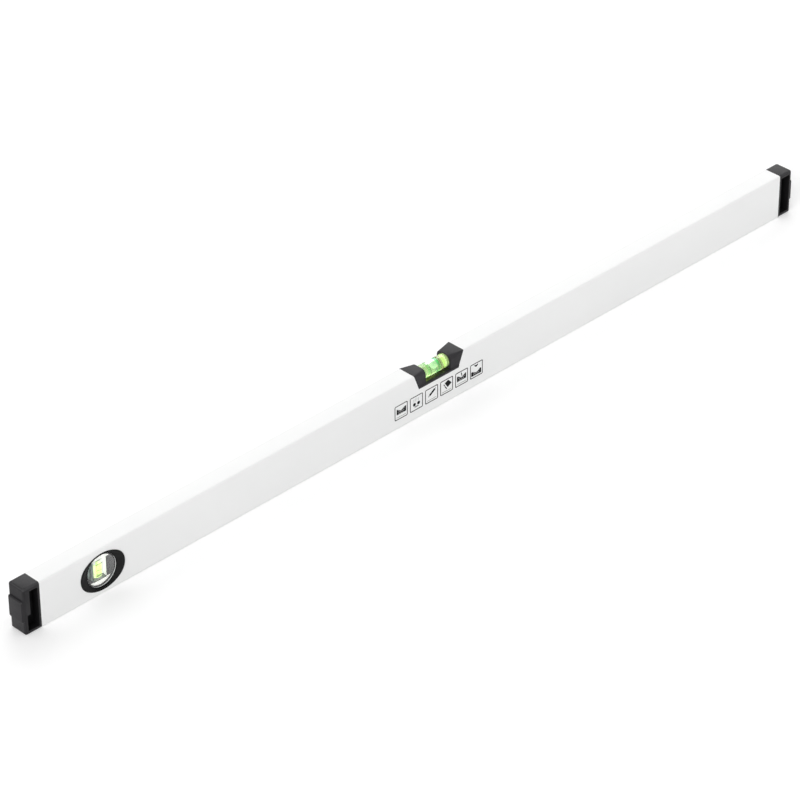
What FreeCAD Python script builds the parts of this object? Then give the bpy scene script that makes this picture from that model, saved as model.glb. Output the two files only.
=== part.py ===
import FreeCAD, Part
import math
import os

os.makedirs("parts", exist_ok=True)

V = FreeCAD.Vector
X_AXIS = V(1, 0, 0)
Y_AXIS = V(0, 1, 0)
Z_AXIS = V(0, 0, 1)

# Box-section spirit level, 1 m. X runs along the level, Y through its
# thickness (the read face looks along -Y), Z up. The origin is at the middle
# of the lower measuring face. Millimetres.

# Extruded profile
overall_length = 1000.0
height = 48.0
width = 20.0
side_wall = 1.2
face_wall = 1.8
edge_radius = 1.5
inner_radius = 0.8

# End cap moulding
cap_length = 17.9
bumper_height = 1.9
bumper_tall = 22.5
bumper_rise = 0.5
bumper_width = 18.6
bumper_corner = 2.0
cap_edge = 2.0
end_corner = 0.1
edge_chords = 3
flange_thickness = 2.2
pocket_low = 3.6
pocket_below_top = 4.0
pocket_corner = 1.0
pocket_web = 2.4
plain_plate = 3.2
heavy_plate = 6.6
heavy_plate_low = 20.0
plug_length = 22.0
plug_wall = 1.8
plug_clearance = 0.25
crush_rib = 0.2
crush_rib_width = 1.2
crush_rib_pitch = 10.0

# Centre holder and its cut-out
cut_half_top = 32.2
cut_half_bottom = 25.9
cut_depth = 16.7
holder_fit = 0.1
block_face = 16.3
arch_half_width = 9.2
arch_below_top = 0.8
arch_radius = 5.0
block_outer_radius = 0.3
corner_chords = 5
tray_rim = 2.1
trough_gap = 0.8
trough_floor = 2.2
keel_fit = 0.15
tongue_length = 3.0
tongue_width = 15.0
tongue_thickness = 2.2

# Centre vial
vial_below_top = 8.5
vial_radius = 6.8
vial_half_length = 22.5
socket_fit = 0.08
bore_radius = 5.0
bore_half_length = 14.4
mark_offset = 6.8
mark_width = 0.5
mark_height = 0.12
mark_low = 1.5
bubble_half_length = 6.9
bubble_depth = 3.2

# Plumb housing
plumb_from_end = 89.7
plumb_below_middle = 0.5
bezel_half_x = 25.1
bezel_half_z = 19.2
bezel_end_radius = 16.4
bezel_proud = 0.6
bezel_round = 0.4
bezel_rim = 1.1
bezel_lip = 1.8
dish_depth = 1.6
dish_land = 0.35
dish_chords = 9
window_radius = 16.4
window_fit = 0.08
window_thickness = 1.4
sleeve_inner = 15.4
sleeve_wall = 1.7
locator_depth = 3.0
housing_fit = 0.1
barb_reach = 0.7
barb_height = 6.0

# Plumb vial block and its seats
block_width = 14.5
block_gap = 1.5
block_height = 22.0
block_corner = 0.6
plumb_bore_radius = 4.0
plumb_bore_floor = 2.5
plumb_mark_offset = 6.0
plumb_bubble_depth = 4.2
seat_overhang = 0.1
seat_fit = 0.05
seat_locator = 0.6

half_length = overall_length / 2
profile_half = half_length - bumper_height - cap_length
cap_corner = cap_edge + end_corner
inner_half_y = width / 2 - side_wall
inner_low = face_wall
inner_high = height - face_wall
cut_floor = height - cut_depth
arch_top = height - arch_below_top
vial_axis_z = height - vial_below_top
pocket_high = height - pocket_below_top
bumper_low = (height - bumper_tall) / 2 + bumper_rise
plumb_x = plumb_from_end - half_length
plumb_z = height / 2 - plumb_below_middle
block_depth = width - 2 * (dish_depth + window_thickness + block_gap)
seat_depth = block_depth + 2 * seat_overhang


def box(x0, x1, y0, y1, z0, z1):
    return Part.makeBox(x1 - x0, y1 - y0, z1 - z0, V(x0, y0, z0))


def rounded_section(x, half_y, z0, z1, radius):
    """closed wire of a rectangle with round corners, in the plane X = x"""
    r = max(radius, 0.01)
    cy = half_y - r
    k = r * math.sqrt(0.5)
    corners = [(cy, z1 - r, 1, 1), (-cy, z1 - r, -1, 1), (-cy, z0 + r, -1, -1), (cy, z0 + r, 1, -1)]
    edges = []
    ends = []
    for y, z, sy, sz in corners:
        on_side = V(x, y + sy * r, z)
        on_flat = V(x, y, z + sz * r)
        mid = V(x, y + sy * k, z + sz * k)
        first, last = (on_side, on_flat) if sy * sz > 0 else (on_flat, on_side)
        ends.append((first, last))
        edges.append(Part.Arc(first, mid, last).toShape())
    out = []
    for i in range(4):
        out.append(edges[i])
        out.append(Part.makeLine(ends[i][1], ends[(i + 1) % 4][0]))
    return Part.Wire(out)


def flat_loft(*chains):
    """solid through closed chains of as many points each, skinned with flat facets"""
    faces = [Part.Face(Part.makePolygon(chain + chain[:1])) for chain in (chains[0], chains[-1])]
    for near, far in zip(chains, chains[1:]):
        for i in range(len(near)):
            a, b = near[i - 1], near[i]
            c, d = far[i], far[i - 1]
            if (b - a).cross(c - d).Length < 1e-9:
                loops = [[a, b, c, d]]
            else:
                loops = [[a, b, c], [a, c, d]]
            for loop in loops:
                faces.append(Part.Face(Part.makePolygon(loop + loop[:1])))
    solid = Part.Solid(Part.Shell(faces))
    return solid if solid.Volume > 0 else solid.reversed()


def chorded_section(x, half_y, z0, z1, radius):
    """corners of a rectangle in the plane X = x, each rounded by corner_chords chords"""
    points = []
    for quarter, sy, sz in ((0, 1, 1), (1, -1, 1), (2, -1, -1), (3, 1, -1)):
        cy = sy * (half_y - radius)
        cz = z1 - radius if sz > 0 else z0 + radius
        for i in range(corner_chords + 1):
            angle = math.pi / 2 * (quarter + i / corner_chords)
            points.append(V(x, cy + radius * math.cos(angle), cz + radius * math.sin(angle)))
    return points


def rounded_bar(x0, x1, half_y, z0, z1, radius):
    face = Part.Face(rounded_section(x0, half_y, z0, z1, radius))
    return face.extrude(V(x1 - x0, 0, 0))


def oval_wire(inset, y):
    """bezel outline moved inwards by inset: four tangent arcs, long along X"""
    end_centre = bezel_half_x - bezel_end_radius
    rise = bezel_half_z - bezel_end_radius
    side_centre = (end_centre * end_centre - rise * rise) / (2 * rise)
    end_radius = bezel_end_radius - inset
    side_radius = bezel_half_z + side_centre - inset
    return arc_loop(end_centre, end_radius, side_centre, side_radius, math.atan2(side_centre, end_centre), y)


def arc_loop(end_centre, end_radius, side_centre, side_radius, turn, y):
    """closed wire of four arcs that meet at the angle turn above and below the X axis"""
    def at(cx, cz, r, angle):
        return V(plumb_x + cx + r * math.cos(angle), y, plumb_z + cz + r * math.sin(angle))
    half_pi = math.pi / 2
    rest = half_pi - turn
    parts = [(0, end_centre, 0, end_radius, turn), (half_pi, 0, -side_centre, side_radius, rest),
             (math.pi, -end_centre, 0, end_radius, turn), (-half_pi, 0, side_centre, side_radius, rest)]
    arcs = []
    for start, cx, cz, r, half in parts:
        points = [at(cx, cz, r, start + share * half) for share in (-1, 0, 1)]
        arcs.append(Part.Arc(*points).toShape())
    return Part.Wire(arcs)


def chords(loop):
    """dish_chords points on each arc of a loop"""
    points = []
    for arc in loop.Edges:
        points += arc.discretize(Number=dish_chords + 1)[:-1]
    return points


def oval_prism(inset, y0, y1):
    """column of the bezel's outline moved inwards by inset, from y0 to y1"""
    return Part.Face(oval_wire(inset, y0)).extrude(V(0, y1 - y0, 0))


def plumb_disc(radius, y0, y1):
    return Part.makeCylinder(radius, y1 - y0, V(plumb_x, y0, plumb_z), Y_AXIS)


def along_x(radius, x0, x1):
    """cylinder about the centre vial's axis"""
    return Part.makeCylinder(radius, x1 - x0, V(x0, 0, vial_axis_z), X_AXIS)


def save(name, shape):
    solids = [solid.removeSplitter() for solid in shape.Solids]
    shape = solids[0] if len(solids) == 1 else Part.makeCompound(solids)
    shape.exportStep("parts/" + name + ".step")
    print(name, len(shape.Solids), round(shape.Volume, 2), shape.isValid())
    return shape


# Profile
def trapezoid(clearance, y0, y1):
    """prism of the centre cut-out, grown by clearance on its three edges"""
    slope = (cut_half_top - cut_half_bottom) / (height - cut_floor)
    side = clearance * math.sqrt(1 + slope * slope)
    low = cut_floor - clearance
    high = height + 5.0
    half_low = cut_half_bottom + slope * (low - cut_floor) + side
    half_high = cut_half_top + slope * (high - height) + side
    points = [V(-half_low, y0, low), V(half_low, y0, low), V(half_high, y0, high), V(-half_high, y0, high)]
    return Part.Face(Part.makePolygon(points + points[:1])).extrude(V(0, y1 - y0, 0))


def make_profile():
    outer = rounded_bar(-profile_half, profile_half, width / 2, 0, height, edge_radius)
    inner = rounded_bar(-profile_half, profile_half, inner_half_y, inner_low, inner_high, inner_radius)
    body = outer.cut(inner)
    body = body.cut(trapezoid(holder_fit, -width, width))
    return body.cut(oval_prism(bezel_lip, -width, width))


# End caps
def make_cap():
    """cap at the +X end: flange, open pockets, end plate, bumper and plug"""
    x0 = profile_half
    x1 = x0 + cap_length
    rings = [chorded_section(x0, width / 2, 0, height, cap_corner)]
    for i in range(edge_chords + 1):
        turn = math.pi / 2 * i / edge_chords
        x = x1 - cap_edge * (1 - math.sin(turn))
        inset = cap_edge * (1 - math.cos(turn))
        rings.append(chorded_section(x, width / 2 - inset, inset, height - inset, cap_corner - inset))
    body = flat_loft(*rings)
    x_flange = x0 + flange_thickness
    x_plate = x1 - plain_plate
    x_heavy = x1 - heavy_plate
    for side in (-1, 1):
        y0, y1 = sorted((side * pocket_web / 2, side * width))
        pocket = box(x_flange, x_plate, y0, y1, pocket_low, pocket_high)
        uprights = [e for e in pocket.Edges if e.BoundBox.YLength > width / 2]
        pocket = pocket.makeFillet(pocket_corner, uprights)
        if side > 0:
            pocket = pocket.cut(box(x_heavy, x1, y0, y1, heavy_plate_low, height))
        body = body.cut(pocket)
    pad_y = bumper_width / 2
    pad = box(x1 - cap_edge, x1 + bumper_height, -pad_y, pad_y, bumper_low, bumper_low + bumper_tall)
    pad = pad.makeFillet(bumper_corner, [e for e in pad.Edges if e.BoundBox.XLength > bumper_height])
    face = [e for e in pad.Edges if e.BoundBox.XMin > x1 + bumper_height - 1e-6]
    pad = pad.makeChamfer(bumper_height * 0.5, face)
    body = body.fuse(pad)
    plug_y = inner_half_y - plug_clearance
    plug_z0 = inner_low + plug_clearance
    plug_z1 = inner_high - plug_clearance
    outer = rounded_bar(x0 - plug_length, x0 + 0.5, plug_y, plug_z0, plug_z1, inner_radius)
    hollow = rounded_bar(x0 - plug_length - 1, x0, plug_y - plug_wall, plug_z0 + plug_wall, plug_z1 - plug_wall, 0.5)
    plug = outer.cut(hollow)
    count = int((plug_z1 - plug_z0 - 2 * plug_wall) / crush_rib_pitch)
    middle = (plug_z0 + plug_z1) / 2
    for i in range(count):
        z = middle + (i - (count - 1) / 2) * crush_rib_pitch
        for side in (-1, 1):
            y0, y1 = sorted((side * (plug_y - 0.3), side * (plug_y + crush_rib)))
            z0, z1 = z - crush_rib_width / 2, z + crush_rib_width / 2
            plug = plug.fuse(box(x0 - plug_length + 4, x0 + 0.4, y0, y1, z0, z1))
    inner_web = box(x0 - plug_length + 6, x0, -plug_y + 0.2, plug_y - 0.2, middle - 0.9, middle + 0.9)
    return body.fuse([plug, inner_web])


# Centre holder
def make_block():
    """+X end block: square at the cut-out's edge, an arch over the vial"""
    high = cut_half_top + 2.0
    slope_x = (high - block_face) / (cut_half_top - block_face)
    half_out = arch_half_width + (width / 2 - arch_half_width) * slope_x
    top_out = arch_top + (height - arch_top) * slope_x
    inner = chorded_section(block_face, arch_half_width, inner_low, arch_top, arch_radius)
    outer = chorded_section(high, half_out, inner_low, top_out, block_outer_radius)
    body = flat_loft(inner, outer)
    body = body.common(box(block_face, high, -width / 2, width / 2, cut_floor, height))
    return body.common(trapezoid(0, -width, width))


def make_holder():
    block = make_block()
    rim_top = cut_floor + tray_rim
    tray = trapezoid(0, -width / 2, width / 2).common(box(-half_length, half_length, -width, width, 0, rim_top))
    keel_y = inner_half_y - keel_fit
    trough_radius = vial_radius + trough_gap
    keel_low = vial_axis_z - trough_radius - trough_floor
    keel_half = cut_half_bottom - 0.8
    keel = box(-keel_half, keel_half, -keel_y, keel_y, keel_low, cut_floor + 0.5)
    foot = [e for e in keel.Edges if e.BoundBox.ZMax < keel_low + 1e-6]
    keel = keel.makeChamfer(0.8, foot)
    x_end = cut_half_top + tongue_length
    tongue_top = inner_high - holder_fit
    points = [(block_face + 6, tongue_top), (x_end, tongue_top), (x_end, tongue_top - tongue_thickness * 0.5),
              (x_end - tongue_thickness, tongue_top - tongue_thickness), (block_face + 6, tongue_top - tongue_thickness)]
    wire = Part.makePolygon([V(x, -tongue_width / 2, z) for x, z in points + points[:1]])
    tongue = Part.Face(wire).extrude(V(0, tongue_width, 0))
    right = block.fuse(tongue)
    left = right.mirror(V(0, 0, 0), X_AXIS)
    body = tray.fuse([keel, right, left])
    body = body.cut(along_x(trough_radius, -block_face, block_face))
    socket = vial_radius + socket_fit
    body = body.cut(along_x(socket, -vial_half_length - socket_fit, x_end + 1))
    for side in (-1, 1):
        x0, x1 = sorted((side * (block_face + 2.0), side * (keel_half - 1.6)))
        slot = box(x0, x1, -keel_y + 1.6, keel_y - 1.6, keel_low - 1, vial_axis_z - socket + 1.2)
        body = body.cut(slot)
    return body


# Centre vial
def make_centre_vial():
    bore = along_x(bore_radius, -bore_half_length, bore_half_length)
    tube = along_x(vial_radius, -vial_half_length, vial_half_length)
    tube = tube.cut(along_x(bore_radius, -bore_half_length, vial_half_length + 1))
    plug = along_x(bore_radius, bore_half_length, vial_half_length)
    above = box(-vial_half_length, vial_half_length, -width, width, vial_axis_z + mark_low, height)
    marks = []
    for side in (-1, 1):
        x0 = side * mark_offset - mark_width / 2
        band = along_x(vial_radius + mark_height, x0, x0 + mark_width)
        marks.append(band.cut(along_x(vial_radius, x0 - 1, x0 + mark_width + 1)).common(above))
    # the bubble's space: level floor, rounded ends, open to the top of the bore
    level = vial_axis_z + bore_radius - bubble_depth
    end_x = bubble_half_length - bore_radius
    over = 2 * bore_radius
    bubble = box(-end_x, end_x, -bore_radius, bore_radius, level, level + over)
    for side in (-1, 1):
        bubble = bubble.fuse(Part.makeCylinder(bore_radius, over, V(side * end_x, 0, level)))
    return tube, plug, Part.makeCompound(marks), bore.cut(bubble)


# Plumb housing
def make_housing():
    """front half: oval bezel, dished to a round window, with its sleeve"""
    front = -width / 2
    outside = oval_prism(0, front - bezel_proud, front)
    outer_edge = [e for e in outside.Edges if e.BoundBox.YMax < front - bezel_proud + 1e-6]
    outside = outside.makeChamfer(bezel_round, outer_edge)
    fit = bezel_lip + housing_fit
    lx = bezel_half_x - fit
    behind = front + side_wall + locator_depth
    locator = oval_prism(fit, front - 0.1, behind)
    seat_y = front + dish_depth
    ledge_y = seat_y + window_thickness
    sleeve = plumb_disc(sleeve_inner + sleeve_wall, seat_y, 0)
    body = outside.fuse([locator, sleeve])
    for side in (-1, 1):
        reach = behind - front - side_wall
        barb = [(lx - 0.8, 0.0), (lx + barb_reach + 0.1, 0.0), (lx, reach), (lx - 0.8, reach)]
        y0 = front + side_wall + housing_fit
        pts = [V(plumb_x + side * x, min(y0 + y, behind), plumb_z - barb_height / 2) for x, y in barb]
        body = body.fuse(Part.Face(Part.makePolygon(pts + pts[:1])).extrude(V(0, 0, barb_height)))
    land_radius = window_radius + dish_land
    rim = oval_wire(bezel_rim, front - bezel_proud)
    land = arc_loop(0, land_radius, 0, land_radius, math.pi / 4, seat_y)
    body = body.cut(flat_loft(chords(rim), chords(land)))
    body = body.cut(plumb_disc(window_radius, seat_y - 1, ledge_y))
    return body.cut(plumb_disc(sleeve_inner, seat_y - 1, 1))


def make_plumb():
    front_body = make_housing()
    rear_body = front_body.mirror(V(0, 0, 0), Y_AXIS)
    seat_y = -width / 2 + dish_depth
    window = plumb_disc(window_radius - window_fit, seat_y, seat_y + window_thickness)
    rear_window = window.mirror(V(0, 0, 0), Y_AXIS)
    return front_body, rear_body, window, rear_window


def make_plumb_vial():
    z0 = plumb_z - block_height / 2
    z1 = plumb_z + block_height / 2
    block = box(plumb_x - block_width / 2, plumb_x + block_width / 2, -block_depth / 2, block_depth / 2, z0, z1)
    block = block.makeFillet(block_corner, [e for e in block.Edges if e.BoundBox.ZLength > block_height / 2])
    floor = z0 + plumb_bore_floor
    bore = Part.makeCylinder(plumb_bore_radius, z1 - floor + 1, V(plumb_x, 0, floor))
    block = block.cut(bore)
    marks = []
    face = block_depth / 2
    for side in (-1, 1):
        z0_mark = plumb_z + side * plumb_mark_offset - mark_width / 2
        for y0, y1 in ((-face - mark_height, -face), (face, face + mark_height)):
            x0, x1 = plumb_x - plumb_bore_radius, plumb_x + plumb_bore_radius
            marks.append(box(x0, x1, y0, y1, z0_mark, z0_mark + mark_width))
    stopper_low = z1 - plumb_bore_floor
    plug = Part.makeCylinder(plumb_bore_radius, z1 - stopper_low, V(plumb_x, 0, stopper_low))
    liquid_top = stopper_low - plumb_bubble_depth
    liquid = Part.makeCylinder(plumb_bore_radius, liquid_top - floor, V(plumb_x, 0, floor))
    return block, plug, Part.makeCompound(marks), liquid


def make_seat():
    """lower seat: a segment of the round sleeve with a flat, lipped top"""
    y = seat_depth / 2
    radius = sleeve_inner - seat_fit
    disc = plumb_disc(radius, -y, y)
    flat = plumb_z - block_height / 2 - seat_fit
    seat = disc.common(box(plumb_x - radius, plumb_x + radius, -y, y, plumb_z - radius, flat + seat_locator))
    half = block_width / 2 + seat_fit
    return seat.cut(box(plumb_x - half, plumb_x + half, -y - 1, y + 1, flat, plumb_z))


profile = save("profile", make_profile())
cap = make_cap()
save("end_cap_right", cap)
save("end_cap_left", cap.rotated(V(0, 0, 0), Z_AXIS, 180))
save("centre_holder", make_holder())

tube, plug, marks, liquid = make_centre_vial()
save("centre_vial_tube", tube)
save("centre_vial_plug", plug)
save("centre_vial_marks", marks)
save("centre_vial_liquid", liquid)

front_body, rear_body, window, rear_window = make_plumb()
save("plumb_housing_front", front_body)
save("plumb_housing_rear", rear_body)
save("plumb_window_front", window)
save("plumb_window_rear", rear_window)

seat = make_seat()
save("plumb_seat_lower", seat)
save("plumb_seat_upper", seat.mirror(V(0, 0, plumb_z), Z_AXIS))

block, plumb_plug, plumb_marks, plumb_liquid = make_plumb_vial()
save("plumb_vial_block", block)
save("plumb_vial_plug", plumb_plug)
save("plumb_vial_marks", plumb_marks)
save("plumb_vial_liquid", plumb_liquid)
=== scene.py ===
import math

import bmesh
import bpy
from mathutils import Matrix, Vector


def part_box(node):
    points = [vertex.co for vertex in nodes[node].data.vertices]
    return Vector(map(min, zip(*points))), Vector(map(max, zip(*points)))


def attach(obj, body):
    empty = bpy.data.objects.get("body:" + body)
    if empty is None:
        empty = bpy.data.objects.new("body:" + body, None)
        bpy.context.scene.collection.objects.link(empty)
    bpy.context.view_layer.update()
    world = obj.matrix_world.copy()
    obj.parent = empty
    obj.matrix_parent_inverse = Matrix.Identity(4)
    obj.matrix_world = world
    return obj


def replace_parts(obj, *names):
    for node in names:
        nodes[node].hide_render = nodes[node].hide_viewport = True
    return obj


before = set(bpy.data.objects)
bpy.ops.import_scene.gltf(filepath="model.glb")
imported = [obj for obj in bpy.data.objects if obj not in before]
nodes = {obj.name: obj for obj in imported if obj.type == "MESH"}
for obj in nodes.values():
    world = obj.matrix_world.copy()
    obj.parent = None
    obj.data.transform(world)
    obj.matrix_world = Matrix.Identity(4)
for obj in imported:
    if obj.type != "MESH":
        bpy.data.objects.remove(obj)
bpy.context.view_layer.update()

# Box-section spirit level, dressed over its solids. Metres, in the solids'
# frame: X along the level, the read face looks along -Y, Z up.

MM = 0.001


# Places taken from the solids
profile_low, profile_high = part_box("profile")
face_y = profile_low.y
top_z = profile_high.z
tube_low, tube_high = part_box("centre_vial_tube")
vial_axis = (tube_low + tube_high) / 2
vial_radius = (tube_high.z - tube_low.z) / 2
vial_half = (tube_high.x - tube_low.x) / 2
liquid_low, liquid_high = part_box("centre_vial_liquid")
bore_half = (liquid_high.x - liquid_low.x) / 2
bore_radius = (liquid_high.y - liquid_low.y) / 2
block_low, block_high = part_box("plumb_vial_block")
plumb_low, plumb_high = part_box("plumb_vial_liquid")
bezel_low, bezel_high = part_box("plumb_housing_front")
window_low, window_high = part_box("plumb_window_front")
plumb_centre = (bezel_low + bezel_high) / 2
plumb_centre.y = 0

# Shapes that the solids leave plain
vial_edge = 0.6 * MM
bore_crown = 0.25 * MM
ring_offset = 6.8 * MM
ring_width = 0.42 * MM
ring_height = 0.12 * MM
bubble_length = 6.3 * MM
bubble_depth = 4.8 * MM
bubble_spread = math.radians(78)
bubble_shift = -0.4 * MM
bubble_film = 0.12 * MM
into_glass = 0.02 * MM
meniscus = 0.9 * MM
bezel_rim = 1.1 * MM
bezel_lip = 1.8 * MM
bezel_end_radius = 16.4 * MM
bezel_edge = 0.4 * MM
dish_land = 0.35 * MM
sleeve_inner = 15.4 * MM
sleeve_wall = 1.7 * MM
locator_depth = 3.0 * MM
side_wall = 1.2 * MM
housing_fit = 0.1 * MM
block_corner = 0.6 * MM
block_edge = 0.35 * MM
window_fit = 0.08 * MM
window_edge = 0.08 * MM
rim_round = 0.15 * MM
dish_ease = 0.10
round_segments = 128
on_axis = 1e-9


# Materials
grain_scale = 2600
grain_depth = 0.00003
acrylic_ior = 1.49
liquid_ior = 1.36
dye_density = 150.0
ink_roughness = 0.6
ink_specular = 0.08
mix_factor, mix_first, mix_second, mix_result = 0, 6, 7, 2


def new_material(name):
    material = bpy.data.materials.new(name)
    material.use_nodes = True
    tree = material.node_tree
    shader = tree.nodes["Principled BSDF"]
    return material, tree, shader


def object_place(tree):
    """place in the object's own metres"""
    return tree.nodes.new("ShaderNodeTexCoord").outputs["Object"]


def object_axes(tree):
    """the same place as X, Y and Z"""
    split = tree.nodes.new("ShaderNodeSeparateXYZ")
    tree.links.new(object_place(tree), split.inputs[0])
    return split.outputs


def object_noise(tree, scale, detail=2.0, roughness=0.5):
    noise = tree.nodes.new("ShaderNodeTexNoise")
    noise.inputs["Scale"].default_value = scale
    noise.inputs["Detail"].default_value = detail
    noise.inputs["Roughness"].default_value = roughness
    tree.links.new(object_place(tree), noise.inputs["Vector"])
    return noise.outputs["Fac"]


def remap(tree, value, low, high, start=0.3, end=0.7):
    node = tree.nodes.new("ShaderNodeMapRange")
    node.inputs["From Min"].default_value = start
    node.inputs["From Max"].default_value = end
    node.inputs["To Min"].default_value = low
    node.inputs["To Max"].default_value = high
    tree.links.new(value, node.inputs["Value"])
    return node.outputs["Result"]


def bump(tree, shader, height, distance, strength=1.0):
    node = tree.nodes.new("ShaderNodeBump")
    node.inputs["Distance"].default_value = distance
    node.inputs["Strength"].default_value = strength
    tree.links.new(height, node.inputs["Height"])
    tree.links.new(node.outputs["Normal"], shader.inputs["Normal"])


def mix_colours(tree, value, first, second):
    """first where value is 0 and second where it is 1: each is a colour or a socket"""
    node = tree.nodes.new("ShaderNodeMix")
    node.data_type = "RGBA"
    tree.links.new(value, node.inputs[mix_factor])
    for index, colour in ((mix_first, first), (mix_second, second)):
        if isinstance(colour, tuple):
            node.inputs[index].default_value = (*colour, 1)
        else:
            tree.links.new(colour, node.inputs[index])
    return node.outputs[mix_result]


def two_colours(tree, shader, value, first, second):
    tree.links.new(mix_colours(tree, value, first, second), shader.inputs["Base Color"])


def coating_material():
    """white powder coat: satin, with a fine orange peel"""
    material, tree, shader = new_material("white_coating")
    tone = object_noise(tree, 9, 3)
    two_colours(tree, shader, remap(tree, tone, 0, 1), (0.865, 0.868, 0.866), (0.885, 0.887, 0.884))
    peel = object_noise(tree, 1400, 2, 0.45)
    shader.inputs["IOR"].default_value = 1.47
    tree.links.new(remap(tree, object_noise(tree, 260, 2), 0.36, 0.46), shader.inputs["Roughness"])
    bump(tree, shader, peel, 0.000012)
    return material


def plastic_material(name, dark, light, rough_low, rough_high, specular=0.3, grain=grain_scale,
                     depth=grain_depth):
    """moulded plastic with a fine spark-eroded grain"""
    material, tree, shader = new_material(name)
    two_colours(tree, shader, remap(tree, object_noise(tree, 60, 3), 0, 1), dark, light)
    tree.links.new(remap(tree, object_noise(tree, 900, 2), rough_low, rough_high), shader.inputs["Roughness"])
    shader.inputs["IOR"].default_value = 1.5
    shader.inputs["Specular IOR Level"].default_value = specular
    bump(tree, shader, object_noise(tree, grain, 3, 0.6), depth)
    return material


def lit_plastic(name, near, far, start, end, plain, reach):
    """black plastic with a painted pool of green light from the vial: the painted light fades along X and
    ends at reach from the axis
    """
    material, tree, shader = new_material(name)
    across = tree.nodes.new("ShaderNodeMath")
    across.operation = "ABSOLUTE"
    tree.links.new(object_axes(tree)["Y"], across.inputs[0])
    beyond = remap(tree, across.outputs[0], 0, 1, reach, reach + 0.8 * MM)
    two_colours(tree, shader, beyond, zones(tree, [(start, near), (end, far)], start, end), plain)
    tree.links.new(remap(tree, object_noise(tree, 900, 2), 0.46, 0.58), shader.inputs["Roughness"])
    shader.inputs["Specular IOR Level"].default_value = 0.24
    bump(tree, shader, object_noise(tree, grain_scale, 3, 0.6), grain_depth)
    return material


def acrylic_material(name, tint):
    """clear acrylic with the slight waviness of a moulding"""
    material, tree, shader = new_material(name)
    shader.inputs["Base Color"].default_value = (*tint, 1)
    shader.inputs["Transmission Weight"].default_value = 1.0
    shader.inputs["IOR"].default_value = acrylic_ior
    tree.links.new(remap(tree, object_noise(tree, 300, 1), 0.0, 0.015), shader.inputs["Roughness"])
    bump(tree, shader, object_noise(tree, 120, 1), 0.000004)
    return material


def zones(tree, stops, start, end):
    """colour that changes along X: stops are (place, colour) in metres from start to end"""
    ramp = tree.nodes.new("ShaderNodeValToRGB")
    tree.links.new(remap(tree, object_axes(tree)["X"], 0, 1, start, end), ramp.inputs[0])
    points = ramp.color_ramp.elements
    while len(points) < len(stops):
        points.new(1.0)
    for point, (x, colour) in zip(points, stops):
        point.position = (x - start) / (end - start)
        point.color = (*colour, 1)
    return ramp.outputs["Color"]


def liquid_material(name, stops, tints, start, end, glow, depth_colour):
    """vial liquid with painted light: its emission is a painted glow, partly the dye's own glow in daylight
    and partly standing in for light reaching it through the glass;
    stops are the glow's colours along X, and tints are the colours of the light that it lets through, both
    changing along X as painted highlight and shade"""
    material, tree, shader = new_material(name)
    tree.links.new(zones(tree, tints, start, end), shader.inputs["Base Color"])
    tree.links.new(zones(tree, stops, start, end), shader.inputs["Emission Color"])
    shader.inputs["Transmission Weight"].default_value = 1.0
    tree.links.new(remap(tree, object_noise(tree, 90, 1), 0.005, 0.015), shader.inputs["Roughness"])
    shader.inputs["IOR"].default_value = liquid_ior
    shader.inputs["Emission Strength"].default_value = glow
    depth = tree.nodes.new("ShaderNodeVolumeAbsorption")
    depth.inputs["Color"].default_value = (*depth_colour, 1)
    depth.inputs["Density"].default_value = dye_density
    tree.links.new(depth.outputs["Volume"], tree.nodes["Material Output"].inputs["Volume"])
    return material


def milky_material(name, first, second, through):
    """translucent plastic with a painted glow: its emission stands in for light falling on the clear parts
    round it
    """
    material, tree, shader = new_material(name)
    two_colours(tree, shader, remap(tree, object_noise(tree, 200, 2), 0, 1), first, second)
    shader.inputs["Roughness"].default_value = 0.4
    shader.inputs["Emission Color"].default_value = (*second, 1)
    shader.inputs["Emission Strength"].default_value = through
    bump(tree, shader, object_noise(tree, 1800, 2), 0.00001)
    return material


def streaked_material(name, dark, light):
    """side of a clear block with a painted reflection: opaque upright streaks stand in for its dark
    surroundings mirrored in it
    """
    material, tree, shader = new_material(name)
    stretch = tree.nodes.new("ShaderNodeMapping")
    stretch.inputs["Scale"].default_value = (1.0, 1.0, 0.12)
    noise = tree.nodes.new("ShaderNodeTexNoise")
    noise.inputs["Scale"].default_value = 520
    noise.inputs["Detail"].default_value = 1.0
    tree.links.new(object_place(tree), stretch.inputs["Vector"])
    tree.links.new(stretch.outputs["Vector"], noise.inputs["Vector"])
    two_colours(tree, shader, remap(tree, noise.outputs["Fac"], 0, 1, 0.44, 0.58), dark, light)
    shader.inputs["Roughness"].default_value = 0.25
    shader.inputs["IOR"].default_value = acrylic_ior
    return material


def ink_material(name, colour):
    material, tree, shader = new_material(name)
    lighter = tuple(c * 1.3 + 0.002 for c in colour)
    two_colours(tree, shader, remap(tree, object_noise(tree, 700, 2), 0, 1), colour, lighter)
    shader.inputs["Roughness"].default_value = ink_roughness
    shader.inputs["Specular IOR Level"].default_value = ink_specular
    bump(tree, shader, object_noise(tree, 3000, 2), 0.000004)
    return material


def hatch_material():
    """dark print hatched with fine slanting lines, as drawn ground is"""
    material, tree, shader = new_material("print_hatch")
    lines = tree.nodes.new("ShaderNodeTexWave")
    lines.bands_direction = "DIAGONAL"
    lines.inputs["Scale"].default_value = 260
    lines.inputs["Distortion"].default_value = 1.5
    tree.links.new(object_place(tree), lines.inputs["Vector"])
    between = remap(tree, lines.outputs["Fac"], 0, 1, 0.35, 0.75)
    two_colours(tree, shader, between, (0.012, 0.012, 0.013), (0.26, 0.26, 0.26))
    shader.inputs["Roughness"].default_value = ink_roughness
    shader.inputs["Specular IOR Level"].default_value = ink_specular
    return material


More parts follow.
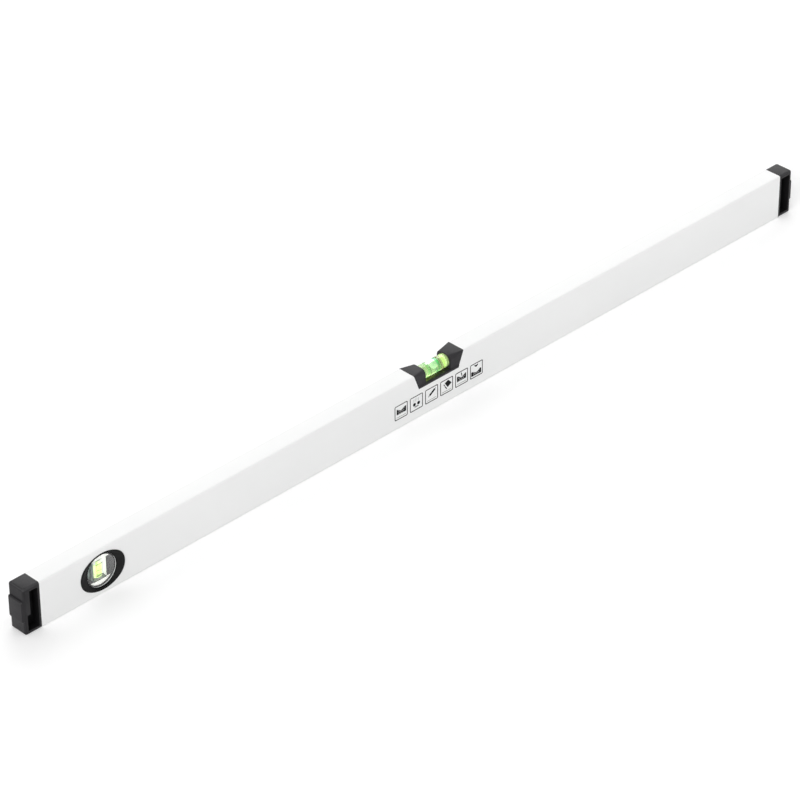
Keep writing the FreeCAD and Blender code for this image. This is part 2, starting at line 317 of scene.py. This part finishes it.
coating = coating_material()
black = plastic_material("black_plastic", (0.017, 0.016, 0.018), (0.024, 0.023, 0.026), 0.46, 0.58, 0.24)
white = plastic_material("white_plastic", (0.80, 0.80, 0.77), (0.85, 0.85, 0.82), 0.35, 0.45,
                         grain=1800, depth=0.00001)
acrylic = acrylic_material("clear_acrylic", (0.99, 1.0, 0.994))
# Painted light along the centre vial's liquid: its colours change along X to paint highlights at both ends,
# the shade at the bubble's right edge as a teal band, and a dark olive band near the holder
pale_highlight, leaf, light_leaf = (0.95, 1.0, 0.68), (0.28, 1.0, 0.34), (0.58, 1.0, 0.54)
teal_bubble_edge_shade, lime, olive_shade = (0.03, 0.42, 0.18), (0.76, 0.96, 0.36), (0.42, 0.58, 0.14)
clear_tint, leaf_tint, teal_edge_shade_tint = (0.97, 1.0, 0.92), (0.84, 1.0, 0.80), (0.26, 0.74, 0.42)
olive_shade_tint = (0.62, 0.70, 0.42)
vial_painted_glow = [(-10.5 * MM, pale_highlight), (-8.8 * MM, leaf), (-6.8 * MM, leaf), (-6.0 * MM, light_leaf),
              (2.8 * MM, light_leaf), (4.0 * MM, teal_bubble_edge_shade), (6.2 * MM, teal_bubble_edge_shade), (7.2 * MM, lime),
              (11.2 * MM, lime), (12.0 * MM, olive_shade), (12.8 * MM, pale_highlight)]
vial_painted_tints = [(-10.5 * MM, clear_tint), (-8.8 * MM, leaf_tint), (-6.8 * MM, leaf_tint),
              (-6.0 * MM, clear_tint), (2.8 * MM, clear_tint), (4.0 * MM, teal_edge_shade_tint),
              (6.2 * MM, teal_edge_shade_tint), (7.2 * MM, clear_tint), (11.4 * MM, clear_tint),
              (12.0 * MM, olive_shade_tint), (12.8 * MM, clear_tint)]
vial_lime = liquid_material("lime_liquid", vial_painted_glow, vial_painted_tints, -bore_half, bore_half, 0.2,
                            (0.80, 0.97, 0.34))
# The plumb liquid's glow is painted light, standing in for light through the clear block, changing slightly
# along X
plumb_painted_glow = [(block_low.x, (0.70, 1.0, 0.40)), (block_high.x, (0.72, 0.98, 0.28))]
plumb_tints = [(block_low.x, (0.95, 1.0, 0.90)), (block_high.x, (0.97, 1.0, 0.92))]
plumb_lime = liquid_material("plumb_lime", plumb_painted_glow, plumb_tints, block_low.x, block_high.x, 0.3,
                             (0.88, 0.99, 0.14))
edge_painted_highlight = plastic_material("edge_painted_highlight", (0.026, 0.026, 0.028), (0.04, 0.04, 0.042), 0.42, 0.52, 0.26)
# A mid black: painted light on the sleeve's inner wall, painted shade on the lower seat's top
sleeve_painted_light_seat_shade = plastic_material("sleeve_painted_light_seat_shade", (0.035, 0.035, 0.035), (0.06, 0.06, 0.06), 0.35, 0.45)
pocket_painted_shade = plastic_material("pocket_painted_shade", (0.004, 0.004, 0.0045), (0.007, 0.007, 0.0075), 0.6, 0.7, 0.1)
deep_black = plastic_material("deep_black", (0.011, 0.0105, 0.012), (0.016, 0.015, 0.017), 0.42, 0.52, 0.22)
bezel_black = plastic_material("bezel_black", (0.008, 0.0082, 0.008), (0.012, 0.012, 0.012), 0.5, 0.6, 0.1)
painted_reflection_side = streaked_material("painted_reflection_side", (0.05, 0.18, 0.12), (0.80, 0.98, 0.88))
# The plumb block's +X side: white with a painted glow, standing in for the bright light seen through the
# clear block
painted_glow_side = milky_material("painted_glow_side", (0.93, 0.94, 0.93), (0.98, 0.98, 0.98), 0.75)
trough_painted_light = lit_plastic("trough_painted_light", (0.15, 0.16, 0.03), (0.018, 0.02, 0.008), -16 * MM, 5 * MM,
                           (0.019, 0.018, 0.020), 7.0 * MM)
# The plumb block's bottom: opaque dark green, a painted dark reflection of the sleeve below it, painted shade
painted_base_shade = plastic_material("painted_base_shade", (0.012, 0.045, 0.018), (0.03, 0.08, 0.03), 0.3, 0.4,
                              grain=900, depth=0.00002)
# The seats: milky white plastic with a painted glow standing in for the light on them
milky = milky_material("milky_seat_painted_glow", (0.92, 0.92, 0.88), (0.96, 0.96, 0.91), 0.5)
# The windows' rim: a painted highlight as a pale glowing edge
window_rim_painted_glow = milky_material("window_rim_painted_glow", (0.78, 0.80, 0.80), (0.90, 0.92, 0.92), 0.45)
# The centre vial's plug: lime plastic with a painted glow
lime_plug_painted_glow = milky_material("lime_plug_painted_glow", (0.55, 0.78, 0.28), (0.66, 0.86, 0.36), 0.22)
ring_ink = ink_material("mark_black", (0.012, 0.03, 0.012))
print_dark = ink_material("print_dark", (0.006, 0.006, 0.007))
print_grey = ink_material("print_grey", (0.15, 0.15, 0.15))
print_hatch = hatch_material()
print_frame = ink_material("print_frame", (0.006, 0.006, 0.007))


# Mesh helpers
def add_mesh(name, verts, faces, material, smooth=True):
    mesh = bpy.data.meshes.new(name)
    mesh.from_pydata([tuple(v) for v in verts], [], faces)
    mesh.update()
    check = bmesh.new()
    check.from_mesh(mesh)
    bmesh.ops.recalc_face_normals(check, faces=check.faces)
    check.to_mesh(mesh)
    check.free()
    mesh.polygons.foreach_set("use_smooth", [smooth] * len(mesh.polygons))
    mesh.materials.append(material)
    obj = bpy.data.objects.new(name, mesh)
    bpy.context.scene.collection.objects.link(obj)
    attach(obj, "root")
    return obj


def crease(obj, degrees=40):
    """edges sharper than this stay crisp under smooth shading"""
    mesh = bmesh.new()
    mesh.from_mesh(obj.data)
    limit = math.radians(degrees)
    for edge in mesh.edges:
        edge.smooth = len(edge.link_faces) == 2 and edge.calc_face_angle(0) < limit
    mesh.to_mesh(obj.data)
    mesh.free()
    return obj


def add_face(faces, corners):
    """face of the corners: those that are one point, as at a pole, count once"""
    loop = list(dict.fromkeys(corners))
    if len(loop) > 2:
        faces.append(loop)


def revolve(outline, centre, axis, segments=96):
    """verts and faces of an outline of (along, radius) points turned about an axis through centre;
    an end on the axis closes to one point, and otherwise the outline is a closed loop"""
    along = Vector((1, 0, 0)) if axis == "X" else Vector((0, 1, 0)) if axis == "Y" else Vector((0, 0, 1))
    side = Vector((0, 1, 0)) if axis != "Y" else Vector((1, 0, 0))
    up = along.cross(side)
    verts = []
    rows = []
    for distance, radius in outline:
        if radius < on_axis:
            rows.append([len(verts)] * segments)
            verts.append(centre + along * distance)
            continue
        row = []
        for i in range(segments):
            angle = 2 * math.pi * i / segments
            row.append(len(verts))
            verts.append(centre + along * distance + (side * math.cos(angle) + up * math.sin(angle)) * radius)
        rows.append(row)
    closed = outline[0][1] > on_axis
    faces = []
    for j in range(len(rows) if closed else len(rows) - 1):
        a, b = rows[j], rows[(j + 1) % len(rows)]
        for i in range(segments):
            k = (i + 1) % segments
            add_face(faces, (a[i], a[k], b[k], b[i]))
    return verts, faces


def round_corner(cx, cr, size, start, steps=5):
    """quarter turn of an outline about (cx, cr), clockwise from the angle start in degrees"""
    points = []
    for i in range(steps + 1):
        angle = math.radians(start - 90 * i / steps)
        points.append((cx + size * math.cos(angle), cr + size * math.sin(angle)))
    return points


# Centre vial
def barrel_radius(x):
    return bore_radius - bore_crown * (x / bore_half) ** 2


def barrel_points(grow=0.0, steps=24):
    points = []
    for i in range(steps + 1):
        x = -bore_half + 2 * bore_half * i / steps
        points.append((x, barrel_radius(x) + grow))
    return points


def make_tube():
    mouth = barrel_radius(bore_half)
    outline = [(-vial_half, 0)]
    outline += round_corner(-vial_half + vial_edge, vial_radius - vial_edge, vial_edge, 180)
    outline += round_corner(vial_half - vial_edge, vial_radius - vial_edge, vial_edge, 90)
    outline.append((vial_half, mouth))
    outline += barrel_points()[::-1]
    outline.append((-bore_half, 0))
    verts, faces = revolve(outline, vial_axis, "X", round_segments)
    tube = crease(add_mesh("vial_tube", verts, faces, acrylic))
    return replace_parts(tube, "centre_vial_tube")


def bubble_shell(rows=20, columns=48):
    """closed skin of the air bubble: it hugs the top of the barrel and bulges below"""
    verts = []
    grid = []

    def place(sx, sy, sz):
        x = bubble_length * sx + bubble_shift
        lift = math.sqrt(max(0.0, 1 - sx * sx - sy * sy))
        drop = bubble_depth * max(0.0, lift - sz) / 2
        radius = barrel_radius(x) - bubble_film - drop
        angle = bubble_spread * sy
        return vial_axis + Vector((x, radius * math.sin(angle), radius * math.cos(angle)))

    for i in range(rows + 1):
        polar = math.pi * i / rows
        if i in (0, rows):
            grid.append([len(verts)] * columns)
            verts.append(place(0, 0, math.cos(polar)))
            continue
        row = []
        for j in range(columns):
            turn = 2 * math.pi * j / columns
            row.append(len(verts))
            across, along = math.sin(polar) * math.cos(turn), math.sin(polar) * math.sin(turn)
            verts.append(place(across, along, math.cos(polar)))
        grid.append(row)
    faces = []
    for i in range(rows):
        for j in range(columns):
            k = (j + 1) % columns
            add_face(faces, (grid[i][j], grid[i][k], grid[i + 1][k], grid[i + 1][j]))
    return verts, faces


def make_liquid():
    outline = [(-bore_half - into_glass, 0)] + barrel_points(into_glass) + [(bore_half, 0)]
    verts, faces = revolve(outline, vial_axis, "X", round_segments)
    inner, inner_faces = bubble_shell()
    start = len(verts)
    verts += inner
    faces += [[start + i for i in face] for face in inner_faces]
    filled = add_mesh("vial_liquid", verts, faces, vial_lime)
    for polygon in filled.data.polygons[-len(inner_faces):]:
        polygon.flip()
    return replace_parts(crease(filled), "centre_vial_liquid")


def make_rings():
    rings = []
    for side in (-1, 1):
        x = side * ring_offset
        outline = [(x - ring_width / 2, vial_radius), (x - ring_width / 2, vial_radius + ring_height),
                   (x + ring_width / 2, vial_radius + ring_height), (x + ring_width / 2, vial_radius)]
        verts, faces = revolve(outline, vial_axis, "X", round_segments)
        name = "vial_mark_left" if side < 0 else "vial_mark_right"
        rings.append(crease(add_mesh(name, verts, faces, ring_ink)))
    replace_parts(rings[0], "centre_vial_marks")
    return rings


# Plumb vial
def rounded_rectangle(half_x, half_y, radius, per_corner=6):
    points = []
    for corner, (sx, sy) in enumerate(((1, 1), (-1, 1), (-1, -1), (1, -1))):
        for i in range(per_corner + 1):
            angle = math.radians(90 * corner + 90 * i / per_corner)
            points.append((sx * (half_x - radius) + radius * math.cos(angle),
                           sy * (half_y - radius) + radius * math.sin(angle)))
    return points


def make_block():
    """clear block with a round blind bore, open at the top"""
    half_x = (block_high.x - block_low.x) / 2
    half_y = (block_high.y - block_low.y) / 2
    corners = rounded_rectangle(half_x, half_y, block_corner)
    bore = (plumb_high.x - plumb_low.x) / 2
    count = len(corners)
    ring = []
    for x, y in corners:
        angle = math.atan2(y, x)
        ring.append((bore * math.cos(angle), bore * math.sin(angle)))
    scale_x, scale_y = (half_x - block_edge) / half_x, (half_y - block_edge) / half_y
    inset = [(x * scale_x, y * scale_y) for x, y in corners]
    levels = [(inset, block_low.z), (corners, block_low.z + block_edge),
              (corners, block_high.z - block_edge), (inset, block_high.z),
              (ring, block_high.z), (ring, plumb_low.z)]
    centre = Vector((plumb_centre.x, 0, 0))
    verts = [centre + Vector((x, y, z)) for loop, z in levels for x, y in loop]
    faces = [list(range(count))[::-1]]
    for level in range(len(levels) - 1):
        for i in range(count):
            k = (i + 1) % count
            a = level * count
            faces.append([a + i, a + k, a + count + k, a + count + i])
    last = (len(levels) - 1) * count
    faces.append([last + i for i in range(count)])
    block = crease(add_mesh("plumb_block", verts, faces, acrylic), 30)
    for extra in (painted_reflection_side, painted_base_shade, painted_glow_side):
        block.data.materials.append(extra)
    # Painted light on the block's faces: the bottom gets painted shade, the -X side painted reflection
    # streaks, the +X side a painted white glow
    for polygon in block.data.polygons:
        outward = abs(polygon.center.x - plumb_centre.x) > half_x - block_edge
        if polygon.normal.z < -0.5:
            polygon.material_index = 2
        elif abs(polygon.normal.x) > 0.9 and outward:
            polygon.material_index = 1 if polygon.normal.x < 0 else 3
    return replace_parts(block, "plumb_vial_block")


def make_plumb_liquid():
    """column of liquid with a bowl-shaped surface under the bubble"""
    bore = (plumb_high.x - plumb_low.x) / 2 + into_glass
    height = plumb_high.z - plumb_low.z
    outline = [(-into_glass, 0), (-into_glass, bore), (height, bore)]
    steps = 12
    for i in range(1, steps + 1):
        share = i / steps
        outline.append((height - meniscus * math.sin(share * math.pi / 2), bore * (1 - share)))
    verts, faces = revolve(outline, Vector((plumb_centre.x, 0, plumb_low.z)), "Z")
    filled = crease(add_mesh("plumb_liquid", verts, faces, plumb_lime))
    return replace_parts(filled, "plumb_vial_liquid")


# Plumb housing
def oval_radius(angle, inset):
    """distance from the centre to the bezel's four-arc outline, moved inwards by inset"""
    half_x = (bezel_high.x - bezel_low.x) / 2
    half_z = (bezel_high.z - bezel_low.z) / 2
    end_centre = half_x - bezel_end_radius
    rise = half_z - bezel_end_radius
    side_centre = (end_centre ** 2 - rise ** 2) / (2 * rise)
    end_radius = bezel_end_radius - inset
    side_radius = half_z + side_centre - inset
    slope = math.hypot(end_centre, side_centre)
    tangent = math.atan2(end_radius * side_centre / slope, end_centre + end_radius * end_centre / slope)
    c, s = abs(math.cos(angle)), abs(math.sin(angle))
    if math.atan2(s, c) < tangent:
        return end_centre * c + math.sqrt(end_radius ** 2 - (end_centre * s) ** 2)
    return -side_centre * s + math.sqrt(side_radius ** 2 - (side_centre * c) ** 2)


def make_housing(name, side, node):
    """half of the plumb housing: side -1 is the front, 1 the rear"""
    proud = abs(bezel_low.y)
    wall = abs(face_y)
    seat = abs(window_low.y)
    ledge = abs(window_high.y)
    window = (window_high.x - window_low.x) / 2 + window_fit
    behind = wall - side_wall - locator_depth
    fit = bezel_lip + housing_fit
    segments = 144

    def section(angle):
        def oval(inset):
            return oval_radius(angle, inset)
        points = [(wall, oval(0))]
        for i in range(5):
            turn = math.radians(90 * i / 4)
            points.append((proud - bezel_edge + bezel_edge * math.sin(turn),
                           oval(bezel_edge) + bezel_edge * math.cos(turn)))
        rim = oval(bezel_rim)
        land = window + dish_land
        points.append((proud, rim + rim_round))
        steps = 8
        for i in range(1, steps):
            share = i / steps
            eased = share - dish_ease * math.sin(2 * math.pi * share)
            points.append((proud + (seat - proud) * eased, rim + (land - rim) * share))
        sleeve_outer = sleeve_inner + sleeve_wall
        points += [(seat, land), (seat, window), (ledge, window), (ledge, sleeve_inner)]
        points += [(0, sleeve_inner), (0, sleeve_outer), (behind, sleeve_outer)]
        return points + [(behind, oval(fit)), (wall, oval(fit))]

    verts = []
    rows = []
    for i in range(segments):
        angle = 2 * math.pi * i / segments
        row = []
        for y, radius in section(angle):
            row.append(len(verts))
            verts.append(Vector((plumb_centre.x + radius * math.cos(angle), side * y,
                                 plumb_centre.z + radius * math.sin(angle))))
        rows.append(row)
    faces = []
    count = len(rows[0])
    for i in range(segments):
        a, b = rows[i], rows[(i + 1) % segments]
        for j in range(count):
            k = (j + 1) % count
            faces.append([a[j], a[k], b[k], b[j]])
    housing = crease(add_mesh(name, verts, faces, bezel_black), 32)
    housing.data.materials.append(sleeve_painted_light_seat_shade)
    # The sleeve's inner wall gets a lighter black: painted light
    for polygon in housing.data.polygons:
        from_axis = math.hypot(polygon.center.x - plumb_centre.x, polygon.center.z - plumb_centre.z)
        if abs(from_axis - sleeve_inner) < 0.2 * MM:
            polygon.material_index = 1
    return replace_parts(housing, node)


def make_window(name, side, node):
    outer = abs(window_low.y)
    inner = abs(window_high.y)
    radius = (window_high.x - window_low.x) / 2
    rim = radius - window_edge
    outline = [(side * outer, 0), (side * outer, rim), (side * (outer - window_edge), radius),
               (side * (inner + window_edge), radius), (side * inner, rim), (side * inner, 0)]
    verts, faces = revolve(outline, plumb_centre, "Y", round_segments)
    window = crease(add_mesh(name, verts, faces, acrylic), 30)
    window.data.materials.append(window_rim_painted_glow)
    # the rim faces get the painted highlight
    for polygon in window.data.polygons:
        if abs(polygon.normal.y) < 0.1:
            polygon.material_index = 1
    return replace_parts(window, node)


# Print under the vial: frames with plain work symbols
icon_width = 16.8 * MM
icon_height = 15.7 * MM
icon_low = 10.3 * MM
icon_pitch = 19.71 * MM
icon_shift = 0.15 * MM
icon_corner = 1.5 * MM
icon_line = 0.95 * MM
ink_proud = 0.03 * MM


def ink_sheet(name, points, faces, material, centre_x):
    """flat ink on the read face: points are (x, z) about the frame's middle"""
    middle = icon_low + icon_height / 2
    verts = [Vector((centre_x + x, face_y - ink_proud, middle + z)) for x, z in points]
    obj = add_mesh(name, verts, faces, material, smooth=False)
    for polygon in obj.data.polygons:
        if polygon.normal.y > 0:
            polygon.flip()
    return obj


def ink_shape(name, loops, material, centre_x):
    """one inked area for each loop of points in millimetres"""
    points = []
    faces = []
    for loop in loops:
        faces.append(list(range(len(points), len(points) + len(loop))))
        points += [(x * MM, z * MM) for x, z in loop]
    return ink_sheet(name, points, faces, material, centre_x)


def bar(x0, z0, x1, z1, width):
    """straight stroke as a loop of four points"""
    along = Vector((x1 - x0, z1 - z0)).normalized() * width / 2
    return [(x0 - along.y, z0 + along.x), (x0 + along.y, z0 - along.x),
            (x1 + along.y, z1 - along.x), (x1 - along.y, z1 + along.x)]


def disc(x, z, radius, points=20):
    turns = [2 * math.pi * i / points for i in range(points)]
    return [(x + radius * math.cos(turn), z + radius * math.sin(turn)) for turn in turns]


def frame_line(name, centre_x):
    """line round a symbol, with rounded corners"""
    half_x, half_z = icon_width / 2, icon_height / 2
    outer = rounded_rectangle(half_x, half_z, icon_corner)
    inner = rounded_rectangle(half_x - icon_line, half_z - icon_line, icon_corner - icon_line)
    count = len(outer)
    faces = [[i, (i + 1) % count, count + (i + 1) % count, count + i] for i in range(count)]
    return ink_sheet(name, outer + inner, faces, print_frame, centre_x)


# each symbol: dark areas, hatched areas, then grey areas, in millimetres about the frame's middle
ground_line = bar(-5.8, -5.2, 6.2, -5.2, 0.5)
symbols = [
    ([[(-5.8, -2.1), (-3.3, -2.2), (-4.3, 3.4), (-5.0, 3.8), (-5.8, 3.5)],
      [(3.4, -2.2), (6.4, -2.2), (6.4, 3.6), (5.2, 3.8), (4.5, 3.5)]],
     [[(-3.3, -2.2), (3.4, -2.2), (4.5, 3.5), (0.8, 1.8), (-0.4, 1.0), (-4.3, 3.4)]], [ground_line]),
    ([disc(-2.6, -1.1, 1.85), disc(2.8, -1.1, 1.85)], [],
     [bar(-2.4, -4.0, 2.7, -4.0, 1.2), bar(-3.4, 4.8, -3.2, 1.0, 0.3), bar(-1.4, 5.4, -1.3, 2.0, 0.3),
      bar(0.6, 5.5, 0.6, 2.2, 0.3), bar(2.6, 5.0, 2.6, 1.4, 0.3)]),
    ([bar(-2.6, -0.3, 4.4, 4.4, 2.4), bar(4.5, 4.4, 5.5, 5.3, 0.6)], [],
     [ground_line, bar(-4.2, -1.3, -2.7, -0.4, 1.0)]),
    ([[(-2.5, 4.0), (2.1, 6.0), (6.6, 1.2), (1.4, -1.9)], bar(-2.0, 0.2, 0.3, -3.2, 1.1)], [],
     [ground_line, bar(-3.7, 3.1, -2.2, 0.6, 1.2)]),
    ([[(-6.1, -2.5), (-3.6, -2.4), (-4.6, 3.3), (-5.2, 3.6), (-6.1, 3.4)],
      [(3.4, -2.4), (6.0, -2.4), (6.0, 3.4), (5.1, 3.6), (4.4, 3.3)], bar(-0.3, 5.9, 0.3, 2.4, 1.1)],
     [[(-3.6, -2.4), (3.4, -2.4), (4.4, 3.3), (0.8, 1.2), (0.0, 0.7), (-4.6, 3.3)]], [ground_line]),
    ([[(-3.5, 5.9), (0.0, 5.4), (2.3, 6.1), (1.9, 4.4), (-0.6, 3.1)],
      [(-6.9, -5.4), (-4.0, -5.6), (-5.0, -0.5), (-5.6, -0.2), (-6.9, -0.8)],
      [(3.3, -5.6), (6.4, -5.5), (6.4, -0.4), (4.8, 0.0), (4.3, -0.3)]],
     [[(-4.0, -5.6), (3.3, -5.6), (4.3, -0.3), (0.8, -2.5), (-1.2, -2.5), (-5.0, -0.5)]], []),
]


def make_print():
    kinds = (("symbol", print_dark), ("ground", print_hatch), ("detail", print_grey))
    for i, areas in enumerate(symbols):
        centre_x = (i - (len(symbols) - 1) / 2) * icon_pitch + icon_shift
        frame_line(f"print_frame_{i + 1}", centre_x)
        for (kind, ink), loops in zip(kinds, areas):
            if loops:
                ink_shape(f"print_{kind}_{i + 1}", loops, ink, centre_x)


make_tube()
make_liquid()
make_rings()
make_block()
make_plumb_liquid()
make_housing("bezel_front", -1, "plumb_housing_front")
make_housing("bezel_rear", 1, "plumb_housing_rear")
make_window("window_front", -1, "plumb_window_front")
make_window("window_rear", 1, "plumb_window_rear")
make_print()

# Solids that keep their own shape
finishes = {"profile": coating, "end_cap_right": deep_black, "end_cap_left": deep_black,
            "centre_holder": black, "centre_vial_plug": lime_plug_painted_glow, "plumb_seat_lower": milky,
            "plumb_seat_upper": milky, "plumb_vial_plug": white, "plumb_vial_marks": ring_ink}
pocketed = ("end_cap_right", "end_cap_left")
cap_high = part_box("end_cap_right")[1]
pocket_start = profile_high.x + 1.0 * MM
pocket_end = cap_high.x - 4.0 * MM
pocket_floor = 2.5 * MM
pocket_roof = top_z - 3.0 * MM
softened = {"end_cap_right": 0.5 * MM, "end_cap_left": 0.5 * MM, "centre_holder": 0.35 * MM}


def smooth_by_angle(limit):
    """node group that shades faces smoothly across edges flatter than the limit"""
    tree = bpy.data.node_groups.new("smooth_by_angle", "GeometryNodeTree")
    tree.interface.new_socket("Geometry", in_out="INPUT", socket_type="NodeSocketGeometry")
    tree.interface.new_socket("Geometry", in_out="OUTPUT", socket_type="NodeSocketGeometry")
    start = tree.nodes.new("NodeGroupInput")
    end = tree.nodes.new("NodeGroupOutput")
    faces = tree.nodes.new("GeometryNodeSetShadeSmooth")
    faces.domain = "FACE"
    edges = tree.nodes.new("GeometryNodeSetShadeSmooth")
    edges.domain = "EDGE"
    angle = tree.nodes.new("GeometryNodeInputMeshEdgeAngle")
    flat = tree.nodes.new("FunctionNodeCompare")
    flat.operation = "LESS_EQUAL"
    flat.inputs[1].default_value = limit
    tree.links.new(angle.outputs["Unsigned Angle"], flat.inputs[0])
    tree.links.new(start.outputs[0], faces.inputs["Geometry"])
    tree.links.new(faces.outputs["Geometry"], edges.inputs["Geometry"])
    tree.links.new(flat.outputs["Result"], edges.inputs["Shade Smooth"])
    tree.links.new(edges.outputs["Geometry"], end.inputs[0])
    return tree


smoothing = smooth_by_angle(math.radians(32))
trough_half = 16.0 * MM
for name, material in finishes.items():
    solid = nodes[name]
    solid.data.materials.clear()
    solid.data.materials.append(material)
    # The holder's trough and tray under the vial get the painted green light
    if name == "centre_holder":
        solid.data.materials.append(trough_painted_light)
        for polygon in solid.data.polygons:
            middle = polygon.center
            if abs(middle.x) < trough_half and polygon.normal.z > 0.1 and middle.z < vial_axis.z:
                polygon.material_index = 1
    # The lower seat's top, under the block, gets a dark grey-black: painted shade
    if name == "plumb_seat_lower":
        solid.data.materials.append(sleeve_painted_light_seat_shade)
        for polygon in solid.data.polygons:
            if polygon.normal.z > 0.7:
                polygon.material_index = 1
    weld = solid.modifiers.new("weld", "WELD")
    weld.merge_threshold = 0.001 * MM
    if name in softened:
        edges = solid.modifiers.new("soft_edges", "BEVEL")
        edges.limit_method = "ANGLE"
        edges.angle_limit = math.radians(35)
        edges.width = softened[name]
        edges.segments = 3
        if name in pocketed:
            solid.data.materials.append(edge_painted_highlight)
            solid.data.materials.append(pocket_painted_shade)
            # The bevel faces get a lighter black: a painted highlight
            edges.material = 1
            # Inside the pockets the caps get a near-black: painted shade in the recesses
            for polygon in solid.data.polygons:
                middle = polygon.center
                inside = pocket_start < abs(middle.x) < pocket_end and pocket_floor < middle.z < pocket_roof
                if inside and abs(middle.y) < profile_high.y - 0.5 * MM:
                    polygon.material_index = 2
                # the rounded top edges get the same painted highlight
                elif 0.3 < polygon.normal.z < 0.96 and middle.z > pocket_roof:
                    polygon.material_index = 1
    shade = solid.modifiers.new("shade", "NODES")
    shade.node_group = smoothing


# Stage
floor_half = 6.0
floor_shade = 0.88
floor_glow = 0.2
studio_strength = 0.62


def background_rays(tree):
    """1 for what the camera sees directly, through glass or mirrored"""
    rays = tree.nodes.new("ShaderNodeLightPath")
    seen = rays.outputs["Is Camera Ray"]
    for kind in ("Is Transmission Ray", "Is Glossy Ray"):
        either = tree.nodes.new("ShaderNodeMath")
        either.operation = "MAXIMUM"
        tree.links.new(seen, either.inputs[0])
        tree.links.new(rays.outputs[kind], either.inputs[1])
        seen = either.outputs[0]
    return seen


def make_floor():
    mesh = bpy.data.meshes.new("floor")
    corners = [(x * floor_half, y * floor_half, 0) for x, y in ((-1, -1), (1, -1), (1, 1), (-1, 1))]
    mesh.from_pydata(corners, [], [(0, 1, 2, 3)])
    floor = bpy.data.objects.new("floor", mesh)
    bpy.context.scene.collection.objects.link(floor)
    material, tree, shader = new_material("floor_white")
    shader.inputs["Base Color"].default_value = (floor_shade, floor_shade, floor_shade, 1)
    shader.inputs["Roughness"].default_value = 0.9
    shader.inputs["Specular IOR Level"].default_value = 0.0
    shader.inputs["Emission Color"].default_value = (1, 1, 1, 1)
    seen = tree.nodes.new("ShaderNodeMath")
    seen.operation = "MULTIPLY"
    seen.inputs[1].default_value = floor_glow
    tree.links.new(background_rays(tree), seen.inputs[0])
    tree.links.new(seen.outputs[0], shader.inputs["Emission Strength"])
    mesh.materials.append(material)


def make_world():
    world = bpy.data.worlds.new("studio")
    bpy.context.scene.world = world
    world.use_nodes = True
    tree = world.node_tree
    tree.nodes.clear()
    out = tree.nodes.new("ShaderNodeOutputWorld")
    soft = tree.nodes.new("ShaderNodeBackground")
    soft.inputs["Color"].default_value = (1, 1, 1, 1)
    soft.inputs["Strength"].default_value = studio_strength
    seen = tree.nodes.new("ShaderNodeBackground")
    seen.inputs["Color"].default_value = (1, 1, 1, 1)
    seen.inputs["Strength"].default_value = 1.0
    mix = tree.nodes.new("ShaderNodeMixShader")
    tree.links.new(background_rays(tree), mix.inputs["Fac"])
    tree.links.new(soft.outputs[0], mix.inputs[1])
    tree.links.new(seen.outputs[0], mix.inputs[2])
    tree.links.new(mix.outputs[0], out.inputs["Surface"])


def soft_light(name, towards, spread, strength):
    """far soft box: parallel light with a wide angle, from the direction towards"""
    light = bpy.data.lights.new(name, "SUN")
    light.angle = math.radians(spread)
    light.energy = strength * math.pi
    obj = bpy.data.objects.new(name, light)
    bpy.context.scene.collection.objects.link(obj)
    obj.rotation_mode = "QUATERNION"
    obj.rotation_quaternion = Vector(towards).to_track_quat("Z", "Y")
    return obj


def make_lights():
    soft_light("key_left", (-0.92, -0.36, 0.42), 40, 0.58)
    soft_light("back", (0.58, 0.60, 0.55), 42, 0.27)


# Camera at the photograph's angle
camera_place = Vector((-2.08628, -2.09442, 1.97092))
camera_ahead = Vector((0.5816, 0.5955, -0.5542))
camera_roll = math.radians(-0.424)
camera_lens = 171.93


def make_camera():
    data = bpy.data.cameras.new("camera")
    data.lens = camera_lens
    data.sensor_width = 36.0
    camera = bpy.data.objects.new("camera", data)
    bpy.context.scene.collection.objects.link(camera)
    ahead = camera_ahead.normalized()
    level = ahead.cross(Vector((0, 0, 1))).normalized()
    upright = level.cross(ahead)
    right = level * math.cos(camera_roll) + upright * math.sin(camera_roll)
    up = right.cross(ahead)
    turn = Matrix((right, up, -ahead)).transposed()
    camera.matrix_world = Matrix.Translation(camera_place) @ turn.to_4x4()
    bpy.context.scene.camera = camera


make_floor()
make_world()
make_lights()
make_camera()
bpy.context.scene.view_settings.view_transform = "Standard"

bpy.context.view_layer.update()
